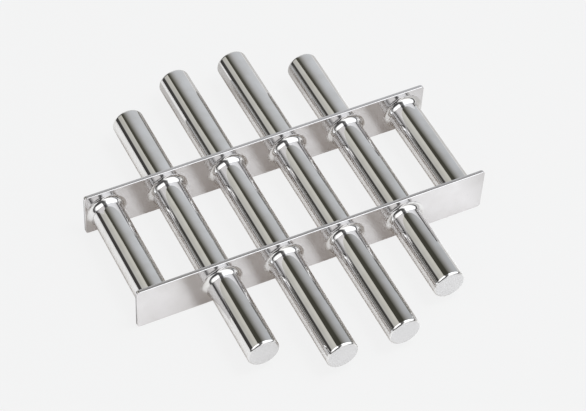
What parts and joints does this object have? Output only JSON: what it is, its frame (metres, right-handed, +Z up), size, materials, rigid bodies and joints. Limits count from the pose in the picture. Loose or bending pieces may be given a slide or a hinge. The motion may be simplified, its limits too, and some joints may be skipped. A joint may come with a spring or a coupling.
{
  "type": "magnetic frame",
  "caption": "Flat grate of mirror-polished magnetic tubes welded through two side bars, longest tubes in the middle, to catch iron in a round hopper.",
  "frame": {"origin": "below the middle of the through tubes, level with the bottom edges of the side bars, on which the grate stands", "axes": "+X along the side bars, +Y along the tubes to the rear, +Z up"},
  "size_m": [0.284, 0.296, 0.039],
  "materials": {
    "tube": "mirror-polished stainless steel",
    "side_bar": "finely polished stainless steel with faint brushing",
    "end_plug": "ground and satin-polished stainless steel",
    "weld": "ground and polished stainless weld",
    "magnet": "nickel-plated sintered rare-earth magnet",
    "pole_piece": "turned mild steel"
  },
  "bodies": {
    "root": {"front_side_bar": "side_bar", "rear_side_bar": "side_bar", "tube_1": "tube", "tube_2": "tube", "tube_3": "tube", "tube_4": "tube", "tube_5": "tube", "tube_6": "tube", "front_plug_1": "end_plug", "front_plug_2": "end_plug", "front_plug_3": "end_plug", "front_plug_4": "end_plug", "front_plug_5": "end_plug", "front_plug_6": "end_plug", "rear_plug_1": "end_plug", "rear_plug_2": "end_plug", "rear_plug_3": "end_plug", "rear_plug_4": "end_plug", "rear_plug_5": "end_plug", "rear_plug_6": "end_plug", "magnets_1": "magnet", "magnets_2": "magnet", "magnets_3": "magnet", "magnets_4": "magnet", "magnets_5": "magnet", "magnets_6": "magnet", "pole_pieces_1": "pole_piece", "pole_pieces_2": "pole_piece", "pole_pieces_3": "pole_piece", "pole_pieces_4": "pole_piece", "pole_pieces_5": "pole_piece", "pole_pieces_6": "pole_piece", "welds_1": "weld", "welds_2": "weld", "welds_3": "weld", "welds_4": "weld", "welds_5": "weld", "welds_6": "weld"}
  },
  "joints": []
}
